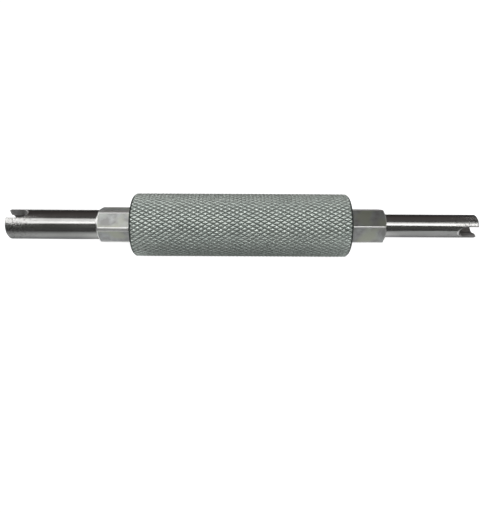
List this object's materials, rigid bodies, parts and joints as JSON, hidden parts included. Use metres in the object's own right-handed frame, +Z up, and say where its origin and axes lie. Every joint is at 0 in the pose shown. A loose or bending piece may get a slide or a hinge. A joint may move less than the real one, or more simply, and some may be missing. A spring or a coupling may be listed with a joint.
{
  "type": "valve core remover",
  "caption": "Double-ended tyre valve core remover: knurled round handle with a hollow slotted steel bit screwed into each end, one large-bore and one standard, with spanner flats.",
  "frame": {"origin": "on the tool's axis, midway between the two tip faces, which is the centre of its bounding box", "axes": "+X along the tool towards the small bit, -X towards the large bit, +Z up as the tool lies on a bench, -Y towards the picture's viewer"},
  "size_m": [0.1002, 0.0136, 0.0136],
  "materials": {
    "handle_metal": "satin plated, diamond knurled",
    "bit_steel": "bright turned and plated",
    "spring_steel": "dark spring steel"
  },
  "bodies": {
    "handle": {"handle": "handle_metal"},
    "large_washer": {"large_lock_washer": "spring_steel"},
    "large_bit": {"large_bit": "bit_steel"},
    "small_washer": {"small_lock_washer": "spring_steel"},
    "small_bit": {"small_bit": "bit_steel"}
  },
  "joints": [
    {"name": "large_washer_slide", "type": "slide", "parent": "handle", "child": "large_washer", "axis": [-1, 0, 0], "range_m": [0, 0.007]},
    {"name": "large_bit_turn", "type": "hinge", "parent": "large_washer", "child": "large_bit", "pos_m": [-0.02325, 0, 0], "axis": [-1, 0, 0], "range_deg": [0, 3600]},
    {"name": "small_washer_slide", "type": "slide", "parent": "handle", "child": "small_washer", "axis": [1, 0, 0], "range_m": [0, 0.007]},
    {"name": "small_bit_turn", "type": "hinge", "parent": "small_washer", "child": "small_bit", "pos_m": [0.02245, 0, 0], "axis": [1, 0, 0], "range_deg": [0, 3600]}
  ],
  "couplings": [
    {"joint": "large_bit_turn", "follows": "large_washer_slide", "rad_per_m": 8976},
    {"joint": "small_bit_turn", "follows": "small_washer_slide", "rad_per_m": 8976}
  ]
}
